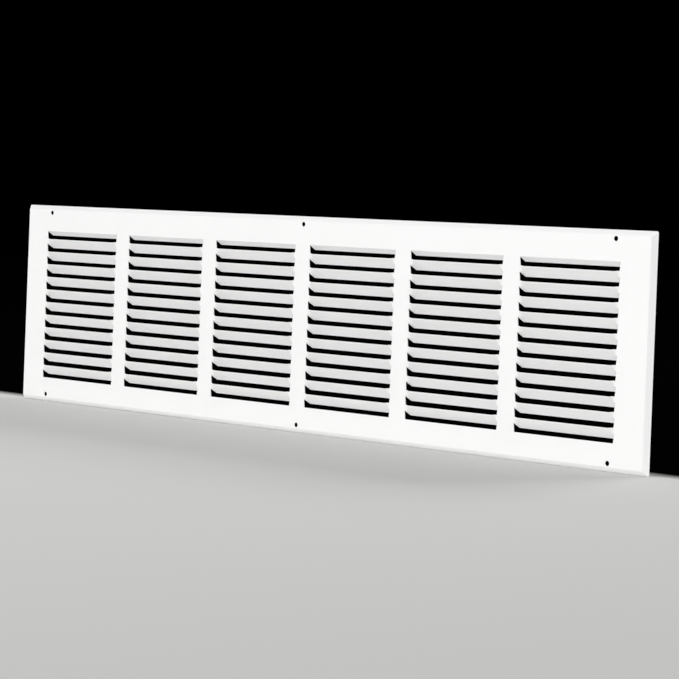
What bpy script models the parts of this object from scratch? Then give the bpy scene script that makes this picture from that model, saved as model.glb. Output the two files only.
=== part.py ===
"""Return air grille pressed from one sheet of steel, in metres.

X runs along the louvres, Z is up, and the front faces -Y. The wall plane that the rim stands on is y = 0,
and the origin is its centre. A flat face is pierced by columns of louvres. Each louvre is the strip between
two shear cuts, turned about its own length: it stays joined to the face by a short root at each end, its
upper edge comes forward and its lower edge goes back into the duct. The border folds back into a sloping rim.
"""

import math

import bmesh
import bpy

# Duct opening behind the grille, and how far the grille laps over the wall around it
DUCT_WIDTH = 0.762
DUCT_HEIGHT = 0.1524
BORDER = 0.022225

# Sheet and rim
SHEET = 0.0006
RIM_DEPTH = 0.0046
RIM_ANGLE = math.radians(45.0)
BEND_RADIUS = 0.0008
FACE_CORNER = 0.0006
RIM_CORNER = 0.0016

# Louvre pattern; a mullion is the plain strip left between two columns
COLUMN_PITCH = 0.126
MULLION = 0.0178
ROW_PITCH = 0.0127
SILL = 0.0016

# One louvre: the height of its two roots, its turn, and the length over which each end twists
ROOT_HEIGHT = 0.0050
LOUVRE_TILT = math.radians(47.0)
TWIST_LENGTH = 0.0060
SIDE_TAPER = 0.0010
SHEAR_GAP = 0.0003

# Screw holes in the border
SCREW_HOLE = 0.0044
SCREW_FROM_END = 0.0402
SCREW_FROM_EDGE = 0.0072

# How finely the curves are drawn
BEND_STEPS = 2
TWIST_STEPS = 3
CORNER_STEPS = 4
HOLE_SIDES = 24

# Sizes that follow from those above
WIDTH = DUCT_WIDTH + 2.0 * BORDER
HEIGHT = DUCT_HEIGHT + 2.0 * BORDER
COLUMNS = int(DUCT_WIDTH / COLUMN_PITCH + 0.001)
ROWS = int(DUCT_HEIGHT / ROW_PITCH + 0.001)
LOUVRE_LENGTH = COLUMN_PITCH - MULLION
BLADE = ROW_PITCH - ROOT_HEIGHT
REACH = ROOT_HEIGHT / 2.0 + BLADE


def rim_levels():
    """Outward run and depth behind the face of each ring of the rim, from the face to its free edge."""
    edge_depth = RIM_DEPTH - SHEET * math.cos(RIM_ANGLE)
    levels = []
    for step in range(BEND_STEPS + 1):
        turn = RIM_ANGLE * step / BEND_STEPS
        levels.append((BEND_RADIUS * math.sin(turn), BEND_RADIUS * (1.0 - math.cos(turn))))
    bend_run, bend_depth = levels[-1]
    levels.append((bend_run + (edge_depth - bend_depth) / math.tan(RIM_ANGLE), edge_depth))
    return levels


def outline_at(run, depth, full_run):
    """Half width, half height, corner radius and y of the outline at one level of the rim."""
    radius = FACE_CORNER + (RIM_CORNER - FACE_CORNER) * run / full_run
    inset = full_run - run
    return WIDTH / 2.0 - inset, HEIGHT / 2.0 - inset, radius, depth - RIM_DEPTH


def station_lines(half_width):
    """X of each upright grid line, with how far the louvre is twisted there (None outside a louvre)."""
    stations = [(-half_width, None)]
    first = -(COLUMNS - 1) * COLUMN_PITCH / 2.0
    for column in range(COLUMNS):
        centre = first + column * COLUMN_PITCH
        steps = [step / TWIST_STEPS for step in range(TWIST_STEPS + 1)]
        twists = [math.sin(math.pi / 2.0 * step) ** 2 for step in steps]
        inward = [LOUVRE_LENGTH / 2.0 - TWIST_LENGTH * step for step in steps]
        stations += [(centre - offset, twist) for offset, twist in zip(inward, twists)]
        stations += [(centre + offset, twist) for offset, twist in zip(inward[::-1], twists[::-1])]
    stations.append((half_width, None))
    return stations


def cut_height(row):
    """Height of the shear cut under one row of louvres, counted from the bottom."""
    return -ROWS * ROW_PITCH / 2.0 + SILL + row * ROW_PITCH


def level_lines(half_height):
    """Z of each level grid line: the cut under each row and the line where its blade meets the roots."""
    levels = [-half_height]
    for row in range(ROWS):
        levels += [cut_height(row), cut_height(row) + BLADE]
    levels.append(half_height)
    return levels


def face_grid(mesh, stations, levels, face_y):
    """Flat face as a grid whose lines are moved to the stations and levels."""
    columns = len(stations) - 1
    rows = len(levels) - 1
    bmesh.ops.create_grid(mesh, x_segments=columns, y_segments=rows, size=0.5)
    station_of = mesh.verts.layers.int.new("station")
    level_of = mesh.verts.layers.int.new("level")
    for vert in mesh.verts:
        station = round((vert.co.x + 0.5) * columns)
        level = round((vert.co.y + 0.5) * rows)
        vert[station_of] = station
        vert[level_of] = level
        vert.co = (stations[station][0], face_y, levels[level])


def moved_out(co, inner, outer):
    """Point of the inner outline carried to the outer one; the corner arcs keep their angle."""
    half_x, half_z, radius, _ = inner
    new_x, new_z, new_radius, new_y = outer
    side_x = math.copysign(1.0, co.x)
    side_z = math.copysign(1.0, co.z)
    past_x = abs(co.x) - (half_x - radius)
    past_z = abs(co.z) - (half_z - radius)
    near = radius * 0.001
    if past_x > -near and past_z > -near:
        angle = math.atan2(max(past_z, 0.0), max(past_x, 0.0))
        x = side_x * (new_x - new_radius + new_radius * math.cos(angle))
        z = side_z * (new_z - new_radius + new_radius * math.sin(angle))
        return x, new_y, z
    if past_z > -near:
        return co.x, new_y, side_z * new_z
    return side_x * new_x, new_y, co.z


def fold_rim(mesh):
    """Round the corners of the face, then draw its edge outward and back, ring by ring."""
    levels = rim_levels()
    full_run = levels[-1][0]
    outlines = [outline_at(run, depth, full_run) for run, depth in levels]
    corners = [vert for vert in mesh.verts if len(vert.link_faces) == 1]
    bmesh.ops.bevel(mesh, geom=corners, offset=FACE_CORNER, segments=CORNER_STEPS, profile=0.5,
                    affect="VERTICES")
    ring = [edge for edge in mesh.edges if edge.is_boundary]
    for inner, outer in zip(outlines, outlines[1:]):
        drawn = bmesh.ops.extrude_edge_only(mesh, edges=ring)["geom"]
        ring = [item for item in drawn if isinstance(item, bmesh.types.BMEdge) and item.is_boundary]
        for vert in [item for item in drawn if isinstance(item, bmesh.types.BMVert)]:
            vert.co = moved_out(vert.co, inner, outer)


def mark_blades(mesh, stations, levels):
    """Mark the faces of the blades: those inside a column, between a cut and the roots above it."""
    blade_of = mesh.faces.layers.int.new("blade")
    for face in mesh.faces:
        centre = face.calc_center_median()
        column = sum(1 for x, _ in stations if x < centre.x) - 1
        band = sum(1 for z in levels if z < centre.z) - 1
        inside = 0 < column < len(stations) - 2 and stations[column][1] is not None
        between_louvres = inside and stations[column][1] == stations[column + 1][1] == 0.0
        if inside and not between_louvres and 0 < band < len(levels) - 1 and band % 2 == 1:
            face[blade_of] = 1
    return blade_of


def shear_cuts(mesh, blade_of, level_of):
    """Edges of the U-shaped cut round each blade: all its sides but the line where it meets the roots."""
    cuts = []
    for edge in mesh.edges:
        marks = [face[blade_of] for face in edge.link_faces]
        one_side = sorted(marks) == [0, 1]
        along_roots = all(vert[level_of] % 2 == 0 for vert in edge.verts)
        if one_side and not along_roots:
            cuts.append(edge)
    return cuts


def turn_louvres(mesh, stations, face_y):
    """Turn every strip about its own length, and draw its lower edge back to one depth throughout."""
    blade_of = mesh.faces.layers.int["blade"]
    station_of = mesh.verts.layers.int["station"]
    level_of = mesh.verts.layers.int["level"]
    lower_drop = REACH * math.cos(LOUVRE_TILT)
    lower_depth = REACH * math.sin(LOUVRE_TILT)
    top_drop = lower_drop - ROOT_HEIGHT / 2.0
    top_depth = math.sqrt(BLADE ** 2 - top_drop ** 2)
    last = len(stations) - 1
    for vert in mesh.verts:
        station = vert[station_of]
        level = vert[level_of]
        twist = stations[station][1]
        if twist is None or not 0 < level <= 2 * ROWS:
            continue
        row = (level - 1) // 2
        on_cut = level % 2 == 1
        toward_middle = 1.0 if 0 < station < last and stations[station + 1][1] else -1.0
        if on_cut and all(face[blade_of] for face in vert.link_faces):
            pivot = cut_height(row) + REACH
            depth = lower_depth if row < ROWS - 1 else top_depth
            vert.co.y = face_y + depth
            vert.co.z = pivot - lower_drop
            if twist == 0.0:
                vert.co.x += toward_middle * (SIDE_TAPER + SHEAR_GAP)
            continue
        if on_cut and twist == 0.0:
            vert.co.x += toward_middle * SIDE_TAPER
        if on_cut and row > 0:
            pivot = cut_height(row) - ROOT_HEIGHT / 2.0
            vert.co.y = face_y - ROOT_HEIGHT / 2.0 * math.sin(LOUVRE_TILT * twist)
            vert.co.z = pivot + ROOT_HEIGHT / 2.0 * math.cos(LOUVRE_TILT * twist)
        if not on_cut and row < ROWS - 1:
            pivot = cut_height(row) + REACH
            vert.co.y = face_y + ROOT_HEIGHT / 2.0 * math.sin(LOUVRE_TILT * twist)
            vert.co.z = pivot - ROOT_HEIGHT / 2.0 * math.cos(LOUVRE_TILT * twist)


def screw_places():
    """Centres of the screw holes in the face: both ends and the middle of the upper and lower border."""
    end = WIDTH / 2.0 - SCREW_FROM_END
    edge = HEIGHT / 2.0 - SCREW_FROM_EDGE
    return [(x, z) for z in (edge, -edge) for x in (-end, 0.0, end)]


def add_screw_cutters(collection, face_y):
    """Short rods along Y that pierce the screw holes."""
    for number, (x, z) in enumerate(screw_places(), start=1):
        bpy.ops.mesh.primitive_cylinder_add(vertices=HOLE_SIDES, radius=SCREW_HOLE / 2.0, depth=SHEET * 6.0,
                                            location=(x, face_y, z), rotation=(math.pi / 2.0, 0.0, 0.0))
        cutter = bpy.context.object
        cutter.name = f"screw_cutter_{number}"
        cutter.hide_render = True
        cutter.display_type = "WIRE"
        for owner in list(cutter.users_collection):
            owner.objects.unlink(cutter)
        collection.objects.link(cutter)


def enamel():
    """White baked enamel."""
    material = bpy.data.materials.new("white_enamel")
    material.use_nodes = True
    shader = material.node_tree.nodes["Principled BSDF"]
    shader.inputs["Base Color"].default_value = (0.88, 0.88, 0.87, 1.0)
    shader.inputs["Roughness"].default_value = 0.38
    shader.inputs["Metallic"].default_value = 0.0
    return material


def pressed_sheet():
    """Front surface of the grille: face, rim and turned louvres, as one open surface facing -Y."""
    full_run = rim_levels()[-1][0]
    half_width, half_height, _, face_y = outline_at(0.0, 0.0, full_run)
    stations = station_lines(half_width)
    levels = level_lines(half_height)
    surface = bmesh.new()
    face_grid(surface, stations, levels, face_y)
    blade_of = mark_blades(surface, stations, levels)
    fold_rim(surface)
    level_of = surface.verts.layers.int["level"]
    bmesh.ops.split_edges(surface, edges=shear_cuts(surface, blade_of, level_of))
    turn_louvres(surface, stations, face_y)
    bmesh.ops.recalc_face_normals(surface, faces=surface.faces[:])
    if sum(face.normal.y * face.calc_area() for face in surface.faces) > 0.0:
        bmesh.ops.reverse_faces(surface, faces=surface.faces[:])
    mesh = bpy.data.meshes.new("grille")
    surface.to_mesh(mesh)
    surface.free()
    return mesh, face_y


def build_grille():
    """The whole grille: the pressed surface given its thickness, with the screw holes pierced."""
    parts = bpy.data.collections.new("return_air_grille")
    cutters = bpy.data.collections.new("cutters")
    for collection in (parts, cutters):
        bpy.context.scene.collection.children.link(collection)
    mesh, face_y = pressed_sheet()
    mesh.materials.append(enamel())
    grille = bpy.data.objects.new("grille", mesh)
    parts.objects.link(grille)
    add_screw_cutters(cutters, face_y)
    thickness = grille.modifiers.new("sheet", "SOLIDIFY")
    thickness.thickness = SHEET
    thickness.offset = -1.0
    thickness.use_even_offset = True
    holes = grille.modifiers.new("screw_holes", "BOOLEAN")
    holes.operation = "DIFFERENCE"
    holes.solver = "EXACT"
    holes.operand_type = "COLLECTION"
    holes.collection = cutters
    mesh.shade_smooth()
    mesh.set_sharp_from_angle(angle=math.radians(30.0))


for item in list(bpy.data.objects):
    bpy.data.objects.remove(item)
build_grille()
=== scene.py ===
# %% [markdown]
# # A return air grille in white enamel
# The object is the cover of an air duct: one sheet of steel, pierced and bent into rows of slanted louvres,
# with its border folded back to the wall and six screw holes in it. This lesson models it as the press makes
# it. One louvre is cut and twisted, the louvre is repeated over the face, and the face then gets its border,
# rim, thickness and holes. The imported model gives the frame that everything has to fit.

# %% Load the frame
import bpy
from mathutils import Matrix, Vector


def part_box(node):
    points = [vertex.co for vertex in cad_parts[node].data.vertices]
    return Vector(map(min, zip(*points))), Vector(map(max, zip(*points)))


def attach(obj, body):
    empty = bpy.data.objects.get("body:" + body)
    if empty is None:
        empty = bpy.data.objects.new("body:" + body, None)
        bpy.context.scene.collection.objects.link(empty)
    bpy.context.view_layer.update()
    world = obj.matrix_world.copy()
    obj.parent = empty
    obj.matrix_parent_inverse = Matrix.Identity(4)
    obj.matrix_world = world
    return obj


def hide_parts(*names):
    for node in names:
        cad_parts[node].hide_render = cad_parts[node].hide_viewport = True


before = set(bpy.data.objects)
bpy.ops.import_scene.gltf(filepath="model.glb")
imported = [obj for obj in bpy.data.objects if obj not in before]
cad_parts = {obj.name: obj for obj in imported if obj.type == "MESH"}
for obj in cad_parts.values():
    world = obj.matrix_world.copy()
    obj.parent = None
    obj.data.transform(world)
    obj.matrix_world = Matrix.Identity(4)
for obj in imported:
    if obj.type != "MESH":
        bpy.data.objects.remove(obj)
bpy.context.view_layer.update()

import math

import bmesh
import bpy
from mathutils import Matrix, Vector

low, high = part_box("grille")
print("CAD grille from", [round(v, 4) for v in low], "to", [round(v, 4) for v in high])

# %% [markdown]
# ## Sizes
# The outline comes from the frame. The rest are the sizes of the press tool: louvres half an inch apart, in
# six columns. A louvre is the strip between two cuts. It stays joined at each end by a root 5 mm high, and
# turns 47 degrees about the middle of its roots, so its upper edge comes forward and its lower edge goes
# back.

# %% Name the sizes, in metres
WIDTH = high.x - low.x
HEIGHT = high.z - low.z
RIM_DEPTH = 0.0046
SHEET = 0.0006
FACE_Y = -RIM_DEPTH

COLUMNS = 6
ROWS = 12
COLUMN_PITCH = 0.126
ROW_PITCH = 0.0127
MULLION = 0.0178
LOUVRE = COLUMN_PITCH - MULLION
ROOT = 0.0050
BLADE = ROW_PITCH - ROOT
TILT = math.radians(47.0)
TWIST = 0.0060
TAPER = 0.0010
SHEAR_GAP = 0.0003
LOWEST_CUT = -0.0746

NEAR = 0.00002
print("louvre", round(LOUVRE, 4), "m long, blade", round(BLADE * 1000, 2), "mm below its roots")

# %% [markdown]
# ## Selecting by place
# In Edit Mode an operator acts on all that is selected. These small helpers stand in for the mouse: one makes
# an object active, and one selects the vertices or edges whose place passes a test.


# %% Helpers for selecting
def work_on(piece):
    """Select only this object and make it active."""
    bpy.ops.object.select_all(action="DESELECT")
    piece.select_set(True)
    bpy.context.view_layer.objects.active = piece


def pick(piece, kind, wanted):
    """In Edit Mode, select exactly the vertices (VERT) or edges (EDGE) that pass the test, and count them."""
    bpy.ops.mesh.select_mode(type=kind)
    bpy.ops.mesh.select_all(action="DESELECT")
    mesh = bmesh.from_edit_mesh(piece.data)
    elements = mesh.verts if kind == "VERT" else mesh.edges
    for element in elements:
        element.select_set(wanted(element))
    mesh.select_flush_mode()
    bmesh.update_edit_mesh(piece.data)
    return sum(1 for element in elements if element.select)


def same(a, b):
    """Whether two lengths agree to a fiftieth of a millimetre."""
    return abs(a - b) < NEAR


# %% [markdown]
# ## One louvre
# A bay is one louvre with half a mullion on each side. It starts as a plane and is bisected into strips that
# get narrow toward the ends, where the metal twists. The slot's sides lean in a little toward the bottom, as
# the punch leaves them.


# %% Start a bay
def slice_bay(bay, x=None, z=None):
    """Cut right through the bay at one x or one z."""
    bpy.ops.mesh.select_all(action="SELECT")
    if x is not None:
        bpy.ops.mesh.bisect(plane_co=(x, 0.0, 0.0), plane_no=(1.0, 0.0, 0.0))
    if z is not None:
        bpy.ops.mesh.bisect(plane_co=(0.0, 0.0, z), plane_no=(0.0, 0.0, 1.0))


def flat_strip(name, height):
    """A flat plane one column wide that faces the room, left in Edit Mode."""
    bpy.ops.object.select_all(action="DESELECT")
    bpy.ops.mesh.primitive_plane_add(size=1.0, location=(0.0, FACE_Y, height / 2.0),
                                     rotation=(math.pi / 2.0, 0.0, 0.0))
    strip = bpy.context.object
    strip.name = name
    strip.scale = (COLUMN_PITCH, height, 1.0)
    bpy.ops.object.transform_apply(location=True, rotation=True, scale=True)
    bpy.ops.object.mode_set(mode="EDIT")
    return strip


def lean_corners(strip, z):
    """Move the two slot corners at this height toward the middle of the louvre."""
    for side in (-1.0, 1.0):
        pick(strip, "VERT", lambda v: same(v.co.x, side * LOUVRE / 2.0) and same(v.co.z, z))
        bpy.ops.transform.translate(value=(-side * TAPER, 0.0, 0.0))


TWIST_STEPS = 8
TWISTS = [(TWIST * step / TWIST_STEPS, math.sin(math.pi / 2.0 * step / TWIST_STEPS) ** 2)
          for step in range(TWIST_STEPS + 1)]
print("twist at", [(round(d * 1000, 2), round(t, 2)) for d, t in TWISTS])

# %% [markdown]
# The blade is cut free along its two sides with Edge Split, which doubles the edge there. Its lower edge then
# swings back by the full 47 degrees about the middle of the roots, straight from end to end. The roots follow
# only gradually: each strip of vertices is turned by its own share, from nothing at the slot's side to the
# full turn 6 mm in. With no window open, Rotate turns the other way round, so it is given the negative angle.

# %% Turn a louvre
TURN_SIGN = -1.0


def turn(angle, pivot_z):
    """Turn the selection about a line along X through the face at this height; upward edges come forward."""
    bpy.ops.transform.rotate(value=TURN_SIGN * angle, orient_axis="X", center_override=(0.0, FACE_Y, pivot_z))


def on_blade(vertex):
    """Whether the vertex is on the free lower edge of the blade."""
    centres = [face.calc_center_median() for face in vertex.link_faces]
    return same(vertex.co.z, 0.0) and all(abs(c.x) < LOUVRE / 2.0 - TAPER / 2.0 for c in centres)


def free_blade(bay):
    """Split the blade from the mullions along both sides, and leave a shear gap at its lower corners."""
    def on_side(edge):
        low_v, high_v = sorted(edge.verts, key=lambda v: v.co.z)
        at_side = same(abs(low_v.co.x), LOUVRE / 2.0 - TAPER) and same(abs(high_v.co.x), LOUVRE / 2.0)
        return at_side and same(low_v.co.z, 0.0) and same(high_v.co.z, BLADE)

    print("side edges split:", pick(bay, "EDGE", on_side))
    bpy.ops.mesh.edge_split(type="EDGE")
    for side in (-1.0, 1.0):
        pick(bay, "VERT", lambda v: on_blade(v) and same(v.co.x, side * (LOUVRE / 2.0 - TAPER)))
        bpy.ops.transform.translate(value=(-side * SHEAR_GAP, 0.0, 0.0))


print("a louvre turns", round(math.degrees(TILT), 1), "degrees, by a factor of", TURN_SIGN, "for Rotate")

# %% [markdown]
# Every louvre has a cut above it but the one at the top, which is joined to the face all along. That one is
# only folded back at its hinge line, a little more steeply, so that its lower edge lines up with the others.


# %% Model the two kinds of bay
def model_bay(name, cut_above):
    """One louvre with half a mullion at each side, standing with its lower cut at z = 0."""
    bay = flat_strip(name, ROW_PITCH)
    for inward, _ in TWISTS:
        for side in (-1.0, 1.0):
            slice_bay(bay, x=side * (LOUVRE / 2.0 - inward))
    slice_bay(bay, z=BLADE)
    lean_corners(bay, 0.0)
    if cut_above:
        lean_corners(bay, ROW_PITCH)
    free_blade(bay)
    reach = ROOT / 2.0 + BLADE
    pick(bay, "VERT", on_blade)
    if cut_above:
        turn(TILT, reach)
        for inward, share in TWISTS[1:]:
            x = LOUVRE / 2.0 - inward
            pick(bay, "VERT", lambda v: same(abs(v.co.x), x) and v.co.z > BLADE - NEAR)
            turn(TILT * share, reach)
    else:
        turn(math.acos((reach * math.cos(TILT) - ROOT / 2.0) / BLADE), BLADE)
    bpy.ops.object.mode_set(mode="OBJECT")
    depths = [vertex.co.y - FACE_Y for vertex in bay.data.vertices]
    forward, back = -min(depths) * 1000, max(depths) * 1000
    print(name, "reaches", round(forward, 2), "mm forward of the face and", round(back, 2), "mm behind it")
    return bay


bay = model_bay("bay", True)
top_bay = model_bay("top_bay", False)

# %% [markdown]
# ## The face
# Array modifiers repeat the bay over the face, which is how a press steps its tool along the sheet. Under the
# last cut lies a plain sill. The pieces are joined, and Merge by Distance welds the mullions, but not the
# blades, whose edges now lie apart.


# %% Repeat and join the bays
def apply_modifiers(piece):
    """Apply all the modifiers of a piece, in order."""
    work_on(piece)
    for modifier in list(piece.modifiers):
        bpy.ops.object.modifier_apply(modifier=modifier.name)


def repeat(piece, offset, count):
    """Repeat a piece in a straight row."""
    row = piece.modifiers.new("row", "ARRAY")
    row.use_relative_offset = False
    row.use_constant_offset = True
    row.constant_offset_displace = offset
    row.count = count


def place(piece, z):
    """Move the first column of a repeated piece to its place on the face."""
    work_on(piece)
    bpy.ops.transform.translate(value=(-(COLUMNS - 1) * COLUMN_PITCH / 2.0, 0.0, z))
    bpy.ops.object.transform_apply(location=True, rotation=False, scale=False)


FIELD_TOP = LOWEST_CUT + ROWS * ROW_PITCH
FIELD_SIDE = COLUMNS * COLUMN_PITCH / 2.0
SILL = LOWEST_CUT + FIELD_TOP

sill = flat_strip("sill", SILL)
for side in (-1.0, 1.0):
    slice_bay(sill, x=side * LOUVRE / 2.0)
lean_corners(sill, SILL)
bpy.ops.object.mode_set(mode="OBJECT")

for piece in (bay, top_bay, sill):
    repeat(piece, (COLUMN_PITCH, 0.0, 0.0), COLUMNS)
repeat(bay, (0.0, 0.0, ROW_PITCH), ROWS - 1)
for piece, z in ((bay, LOWEST_CUT), (top_bay, FIELD_TOP - ROW_PITCH), (sill, LOWEST_CUT - SILL)):
    apply_modifiers(piece)
    place(piece, z)

work_on(bay)
top_bay.select_set(True)
sill.select_set(True)
bpy.ops.object.join()
sheet = bpy.context.object
sheet.name = "pressed_grille"
sheet.data.name = "pressed_grille"
bpy.ops.object.mode_set(mode="EDIT")
bpy.ops.mesh.select_all(action="SELECT")
bpy.ops.mesh.remove_doubles(threshold=NEAR / 2.0)
print("face of", len(bmesh.from_edit_mesh(sheet.data).faces), "faces")

# %% [markdown]
# ## Border and rim
# The border is pulled out of the field's edges, first up and down, then to both sides. The sheet is then
# folded back over a small radius into a rim that slopes at 45 degrees. The rim is drawn in rings: each ring
# is extruded back, scaled out to its size, and its corner arcs are scaled about the sharp corner, so that
# they grow rounder toward the wall.

# %% Pull out the border
BEND_RADIUS = 0.0008
RIM_ANGLE = math.radians(45.0)
FACE_CORNER = 0.0006
RIM_CORNER = 0.0016
BEND_STEPS = 6
CORNER_STEPS = 8

edge_depth = RIM_DEPTH - SHEET * math.cos(RIM_ANGLE)
angles = [RIM_ANGLE * step / BEND_STEPS for step in range(BEND_STEPS + 1)]
rings = [(BEND_RADIUS * math.sin(a), BEND_RADIUS * (1.0 - math.cos(a))) for a in angles]
rings.append((rings[-1][0] + (edge_depth - rings[-1][1]) / math.tan(RIM_ANGLE), edge_depth))
RIM_RUN = rings[-1][0]
FACE_SIDE = WIDTH / 2.0 - RIM_RUN
FACE_TOP = HEIGHT / 2.0 - RIM_RUN


def pull_out(axis, start, end):
    """Extrude the edges that lie on one side of the field out to the edge of the face."""
    pick(sheet, "EDGE", lambda e: all(same(v.co[axis], start) for v in e.verts))
    move = [0.0, 0.0, 0.0]
    move[axis] = end - start
    bpy.ops.mesh.extrude_region_move(TRANSFORM_OT_translate={"value": move})


pull_out(2, FIELD_TOP, FACE_TOP)
pull_out(2, -FIELD_TOP, -FACE_TOP)
pull_out(0, FIELD_SIDE, FACE_SIDE)
pull_out(0, -FIELD_SIDE, -FACE_SIDE)
pick(sheet, "VERT", lambda v: same(abs(v.co.x), FACE_SIDE) and same(abs(v.co.z), FACE_TOP))
bpy.ops.mesh.bevel(offset=FACE_CORNER, segments=CORNER_STEPS, affect="VERTICES")
print("face", round(2.0 * FACE_SIDE, 4), "by", round(2.0 * FACE_TOP, 4), "m, rim", round(RIM_RUN, 4), "m")

# %% Fold the rim back
ARC_MARGIN = 1.1


def on_outline(edge):
    """Whether the edge is on the open outline, and not round a slot."""
    at_side = [abs(v.co.x) > FACE_SIDE - RIM_CORNER for v in edge.verts]
    at_top = [abs(v.co.z) > FACE_TOP - RIM_CORNER for v in edge.verts]
    return edge.is_boundary and all(a or b for a, b in zip(at_side, at_top))


def corner_radius(run):
    """Corner radius of the outline at one ring."""
    return FACE_CORNER + (RIM_CORNER - FACE_CORNER) * run / RIM_RUN


for (run, depth), (next_run, next_depth) in zip(rings, rings[1:]):
    side, top = FACE_SIDE + run, FACE_TOP + run
    next_side, next_top = FACE_SIDE + next_run, FACE_TOP + next_run
    y = FACE_Y + next_depth
    pick(sheet, "EDGE", on_outline)
    bpy.ops.mesh.extrude_region_move(TRANSFORM_OT_translate={"value": (0.0, next_depth - depth, 0.0)})
    bpy.ops.transform.resize(value=(next_side / side, 1.0, next_top / top), center_override=(0.0, y, 0.0))
    growth = corner_radius(next_run) / corner_radius(run)
    arc = corner_radius(run) * ARC_MARGIN
    for right, up in ((1.0, 1.0), (-1.0, 1.0), (-1.0, -1.0), (1.0, -1.0)):
        x, z = right * next_side, up * next_top
        pick(sheet, "VERT", lambda v: same(v.co.y, y) and abs(v.co.x - x) < arc and abs(v.co.z - z) < arc)
        bpy.ops.transform.resize(value=(growth, 1.0, growth), center_override=(x, y, z))
bpy.ops.mesh.select_all(action="SELECT")
bpy.ops.mesh.normals_make_consistent(inside=False)
bpy.ops.object.mode_set(mode="OBJECT")
facing = -sum(polygon.normal.y * polygon.area for polygon in sheet.data.polygons)
print("area facing the room, less that facing the wall:", round(facing, 4), "m2")

# %% [markdown]
# ## Thickness, holes and edges
# Solidify gives the open surface the thickness of the sheet behind the face. Six rods cut the screw holes.
# Sheared steel has a keen edge, but enamel draws back from it and leaves it softly rounded, and that round
# edge is what catches the light along every louvre. A narrow Bevel on the square edges makes it. Weighted
# normals then keep the flat faces flat in the light.

# %% Make the rods for the screw holes
SCREW_HOLE = 0.0044
SCREW_FROM_END = 0.0402
SCREW_FROM_EDGE = 0.0072
ROD_LENGTH = SHEET * 6.0
ROD_SIDES = 48

rods = []
for x in (-WIDTH / 2.0 + SCREW_FROM_END, 0.0, WIDTH / 2.0 - SCREW_FROM_END):
    for z in (HEIGHT / 2.0 - SCREW_FROM_EDGE, SCREW_FROM_EDGE - HEIGHT / 2.0):
        bpy.ops.object.select_all(action="DESELECT")
        bpy.ops.mesh.primitive_cylinder_add(vertices=ROD_SIDES, radius=SCREW_HOLE / 2.0, depth=ROD_LENGTH,
                                            location=(x, FACE_Y, z), rotation=(math.pi / 2.0, 0.0, 0.0))
        rods.append(bpy.context.object)
work_on(rods[0])
for rod in rods:
    rod.select_set(True)
bpy.ops.object.join()
rod = bpy.context.object
print(len(rods), "rods of", SCREW_HOLE * 1000, "mm joined")

# %% Give the sheet its thickness, holes and edges
EDGE_ROUND = 0.00014
EDGE_SEGMENTS = 2
KEEN_ANGLE = math.radians(62.0)
SMOOTH_ANGLE = math.radians(26.0)
FACE_WEIGHT = 100

thickness = sheet.modifiers.new("thickness", "SOLIDIFY")
thickness.thickness = SHEET
thickness.offset = -1.0
thickness.use_even_offset = True
holes = sheet.modifiers.new("screw_holes", "BOOLEAN")
holes.operation = "DIFFERENCE"
holes.solver = "EXACT"
holes.object = rod
edges = sheet.modifiers.new("soft_edges", "BEVEL")
edges.width = EDGE_ROUND
edges.segments = EDGE_SEGMENTS
edges.limit_method = "ANGLE"
edges.angle_limit = KEEN_ANGLE
apply_modifiers(sheet)
bpy.data.objects.remove(rod)

bpy.ops.object.shade_smooth_by_angle(angle=SMOOTH_ANGLE)
flat_faces = sheet.modifiers.new("flat_faces", "WEIGHTED_NORMAL")
flat_faces.weight = FACE_WEIGHT
flat_faces.keep_sharp = True
apply_modifiers(sheet)
sheet.data.calc_loop_triangles()
print("grille of", len(sheet.data.loop_triangles), "triangles")

# %% [markdown]
# ## White baked enamel
# The finish is a white polyester powder, baked on to steel. It is smooth and satin: light spreads softly over
# it, with a faint orange peel a millimetre or two across that breaks up the highlights. Coating that has
# flowed thick in one place and thin in another changes the gloss a little. No bare metal shows.


# %% Colour and node helpers
def linear(code):
    """The linear colour of an sRGB hex value such as #F2F2EF."""
    parts = [int(code[start:start + 2], 16) / 255.0 for start in (1, 3, 5)]
    return tuple(p / 12.92 if p <= 0.04045 else ((p + 0.055) / 1.055) ** 2.4 for p in parts) + (1.0,)


def add_node(tree, kind, links=(), **settings):
    """Add a node, set its properties and sockets by name, and link outputs of others to its inputs."""
    node = tree.nodes.new(kind)
    for name, value in settings.items():
        if hasattr(node, name):
            setattr(node, name, value)
        else:
            node.inputs[name.replace("_", " ")].default_value = value
    for output, name in links:
        tree.links.new(output, node.inputs[name])
    return node


def new_material(name):
    """An empty Principled material and its shader node."""
    material = bpy.data.materials.new(name)
    material.use_nodes = True
    return material, material.node_tree.nodes["Principled BSDF"]


# %% Mix the enamel
ENAMEL = "#F5F5F5"
ENAMEL_THIN = "#F1F1F1"
GLOSSIEST = 0.42
DULLEST = 0.50
ENAMEL_IOR = 1.5
PEEL_SIZE = 0.0016
PEEL_HEIGHT = 0.000012
FLOW_SIZE = 0.060

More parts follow.
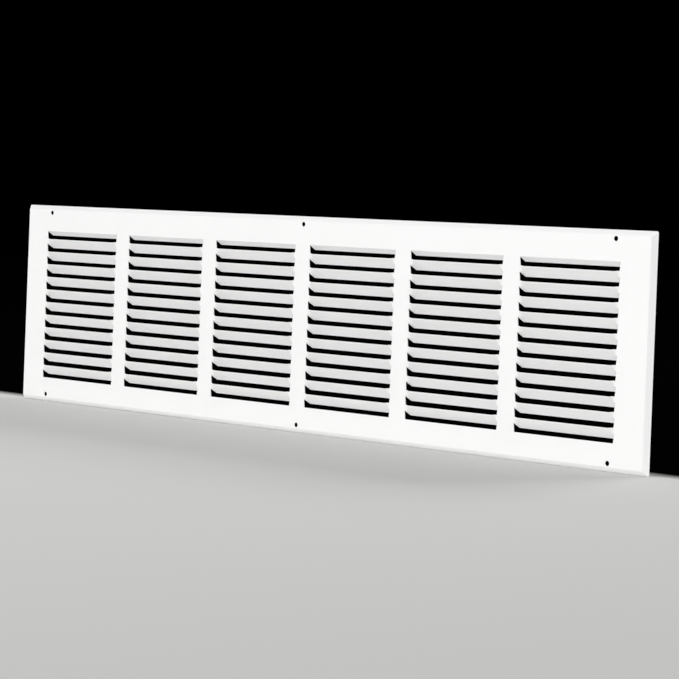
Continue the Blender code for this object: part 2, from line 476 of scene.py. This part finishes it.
enamel, shader = new_material("white_baked_enamel")
tree = enamel.node_tree
place_on_piece = add_node(tree, "ShaderNodeTexCoord").outputs["Object"]
flow = add_node(tree, "ShaderNodeTexNoise", [(place_on_piece, "Vector")], Scale=1.0 / FLOW_SIZE, Detail=3.0)
peel = add_node(tree, "ShaderNodeTexNoise", [(place_on_piece, "Vector")], Scale=1.0 / PEEL_SIZE, Detail=2.0)
colour = add_node(tree, "ShaderNodeMix", [(flow.outputs["Fac"], "Factor")], data_type="RGBA")
colour_a, colour_b = [socket for socket in colour.inputs if socket.type == "RGBA"]
colour_a.default_value = linear(ENAMEL)
colour_b.default_value = linear(ENAMEL_THIN)
colour_out = [socket for socket in colour.outputs if socket.type == "RGBA"][0]
tree.links.new(colour_out, shader.inputs["Base Color"])
gloss = add_node(tree, "ShaderNodeMapRange", [(flow.outputs["Fac"], "Value")], To_Min=GLOSSIEST,
                 To_Max=DULLEST)
tree.links.new(gloss.outputs["Result"], shader.inputs["Roughness"])
bump = add_node(tree, "ShaderNodeBump", [(peel.outputs["Fac"], "Height")], Strength=1.0, Distance=PEEL_HEIGHT)
tree.links.new(bump.outputs["Normal"], shader.inputs["Normal"])
shader.inputs["IOR"].default_value = ENAMEL_IOR
sheet.data.materials.append(enamel)
print("enamel is", [round(v, 3) for v in linear(ENAMEL)[:3]], "linear")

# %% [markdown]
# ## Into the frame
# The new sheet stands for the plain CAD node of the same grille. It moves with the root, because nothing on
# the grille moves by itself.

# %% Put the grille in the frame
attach(sheet, "root")
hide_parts("grille")
print(sheet.name, "rides on the root and stands for the CAD node grille")

# %% [markdown]
# ## Floor, background and light
# The grille stands on its lower edge on a pale floor. It was shot against black, which shows in every slot
# and makes the louvres readable. So the floor's colour runs down to near black over the three centimetres
# behind the grille, and what the camera sees of the world is black.
#
# The blades face down and forward, so light from above leaves them grey. Two soft boxes therefore stand low
# in front, level with the louvres. One high up lights the top of the rim and the floor, which throws light
# back on the blades and the underside of the rim. One behind lights the backs of the louvres, which pass it
# on to each other. The camera sees the floor a good quarter darker than it is, so that the lower rim stands
# out against it.

# %% Lay the floor
FLOOR = "#F0F0EE"
SEEN_SHARE = 0.72
DARK = "#030303"
FLOOR_ROUGHNESS = 0.9
FLOOR_SIZE = 12.0
FADE_START = 0.004
FADE_END = 0.034

bpy.ops.object.select_all(action="DESELECT")
bpy.ops.mesh.primitive_plane_add(size=FLOOR_SIZE, location=(0.0, 0.0, low.z))
floor = bpy.context.object
floor.name = "floor"
pale, pale_shader = new_material("pale_floor")
tree = pale.node_tree
spot = add_node(tree, "ShaderNodeTexCoord").outputs["Object"]
across = add_node(tree, "ShaderNodeSeparateXYZ", [(spot, "Vector")])
fade = add_node(tree, "ShaderNodeMapRange", [(across.outputs["Y"], "Value")], From_Min=FADE_START,
                From_Max=FADE_END)
ramp = add_node(tree, "ShaderNodeValToRGB", [(fade.outputs["Result"], "Fac")])
ramp.color_ramp.elements[0].color = linear(FLOOR)
ramp.color_ramp.elements[1].color = linear(DARK)
to_camera = add_node(tree, "ShaderNodeLightPath").outputs["Is Camera Ray"]
share = add_node(tree, "ShaderNodeMapRange", [(to_camera, "Value")], To_Min=1.0, To_Max=SEEN_SHARE)
shown = add_node(tree, "ShaderNodeHueSaturation", [(ramp.outputs["Color"], "Color"),
                                                   (share.outputs["Result"], "Value")])
tree.links.new(shown.outputs["Color"], pale_shader.inputs["Base Color"])
pale_shader.inputs["Roughness"].default_value = FLOOR_ROUGHNESS
pale_shader.inputs["Specular IOR Level"].default_value = 0.0
floor.data.materials.append(pale)
print("floor at z", round(low.z, 4))

# %% Set the background
AMBIENT = 0.32

world = bpy.data.worlds.new("dark_studio")
bpy.context.scene.world = world
world.use_nodes = True
tree = world.node_tree
background = tree.nodes["Background"]
rays = add_node(tree, "ShaderNodeLightPath").outputs
seen = add_node(tree, "ShaderNodeMath", [(rays["Is Camera Ray"], 0), (rays["Is Transmission Ray"], 1)],
                operation="MAXIMUM")
dark = add_node(tree, "ShaderNodeMath", [(seen.outputs[0], 0), (rays["Is Glossy Ray"], 1)],
                operation="MAXIMUM")
strength = add_node(tree, "ShaderNodeMapRange", [(dark.outputs[0], "Value")], To_Min=AMBIENT, To_Max=0.0)
tree.links.new(strength.outputs["Result"], background.inputs["Strength"])
background.inputs["Color"].default_value = linear("#FFFFFF")
print("world at", AMBIENT, "for diffuse light, black for camera, glossy and transmission rays")


# %% Hang the lamps
def soft_lamp(name, place, width, height, power):
    """A soft box at a place, turned to the middle of the grille."""
    lamp = bpy.data.lights.new(name, "AREA")
    lamp.shape = "RECTANGLE"
    lamp.size = width
    lamp.size_y = height
    lamp.energy = power
    holder = bpy.data.objects.new(name, lamp)
    holder.location = place
    holder.rotation_euler = (-Vector(place)).to_track_quat("-Z", "Y").to_euler()
    bpy.context.scene.collection.objects.link(holder)
    print(name, "gives", power, "W from", place)


soft_lamp("front_box", place=(-0.5, -4.5, 0.15), width=2.4, height=0.5, power=38.0)
soft_lamp("right_box", place=(3.1, -3.3, 0.15), width=2.0, height=0.5, power=43.0)
soft_lamp("top_box", place=(-0.5, -1.7, 3.0), width=2.0, height=1.4, power=56.0)
soft_lamp("rear_box", place=(0.3, 2.6, 1.8), width=2.0, height=1.2, power=52.0)

# %% [markdown]
# ## Camera
# The photograph was taken from the right, level with the upper edge, with a long lens, and the frame is a
# crop from the lower part of the picture. The shift moves the view down by that much and keeps the uprights
# parallel.

# %% Place the camera
AIM = Vector((0.0472, FACE_Y, 0.0835))
AZIMUTH = math.radians(44.99)
ELEVATION = math.radians(0.59)
ROLL = math.radians(2.21)
DISTANCE = 2.3348
LENS_MM = 138.3
SHIFT_ACROSS = -0.0007
SHIFT_DOWN = -0.1546

lens = bpy.data.cameras.new("camera")
lens.lens = LENS_MM
lens.shift_x = SHIFT_ACROSS
lens.shift_y = SHIFT_DOWN
camera = bpy.data.objects.new("camera", lens)
toward = Vector((math.sin(AZIMUTH) * math.cos(ELEVATION), -math.cos(AZIMUTH) * math.cos(ELEVATION),
                 math.sin(ELEVATION)))
camera.location = AIM + DISTANCE * toward
view = (-toward).to_track_quat("-Z", "Y").to_matrix().to_4x4()
view = view @ Matrix.Rotation(ROLL, 4, "Z")
camera.rotation_euler = view.to_euler()
bpy.context.scene.collection.objects.link(camera)
bpy.context.scene.camera = camera
bpy.context.scene.view_settings.view_transform = "Standard"
print("camera at", [round(v, 3) for v in camera.location])
